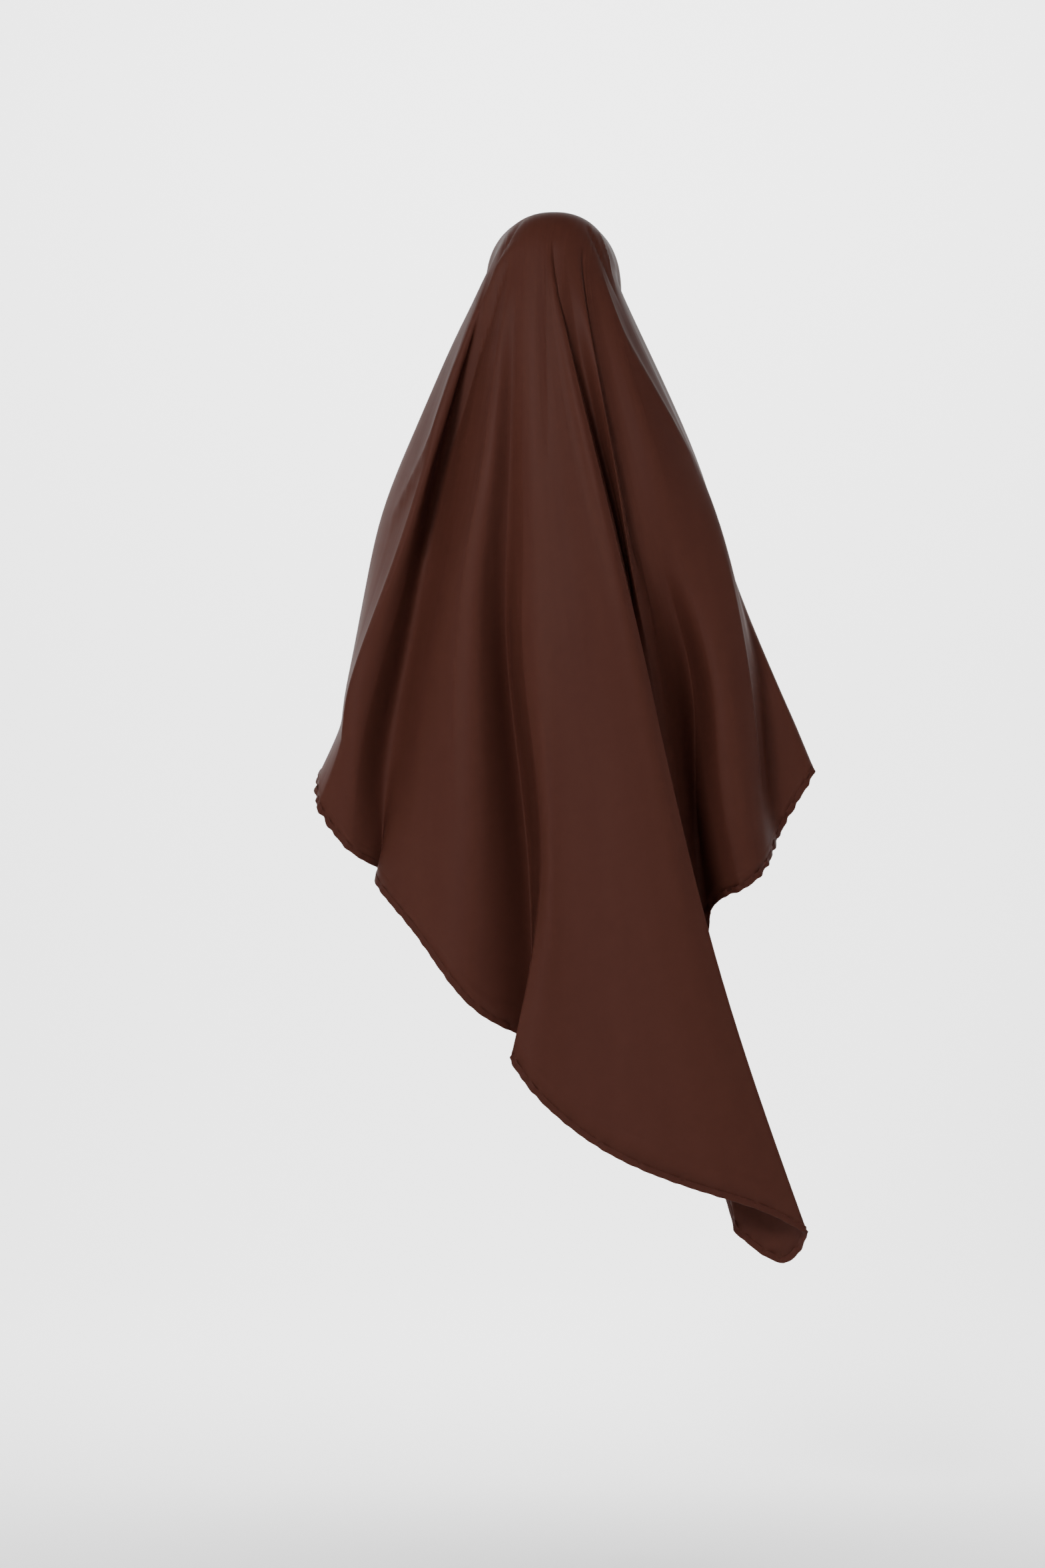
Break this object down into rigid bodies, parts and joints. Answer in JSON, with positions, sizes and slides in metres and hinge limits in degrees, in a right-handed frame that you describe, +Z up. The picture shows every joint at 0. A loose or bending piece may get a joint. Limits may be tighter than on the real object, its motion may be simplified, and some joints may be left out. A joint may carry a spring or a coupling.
{
  "type": "khimar veil",
  "caption": "Long one-piece veil with a face opening, draped over head and shoulders, with a deep swept tail behind and a stitched hem.",
  "frame": {"origin": "crown seat: the point on the underside of the cloth where the top of the head carries the veil", "axes": "+X is the wearer's right side, +Y is the way the wearer faces, +Z is up; the tail hangs on the -Y side"},
  "size_m": [0.6472, 0.4131, 1.3402],
  "materials": {
    "satin_crepe": "fluid satin crepe, soft sheen",
    "stitched_edge": "the same cloth, rolled and stitched"
  },
  "bodies": {
    "root": {"veil_cloth": "satin_crepe", "lower_hem": "stitched_edge", "face_edge_hem": "stitched_edge"}
  },
  "joints": []
}
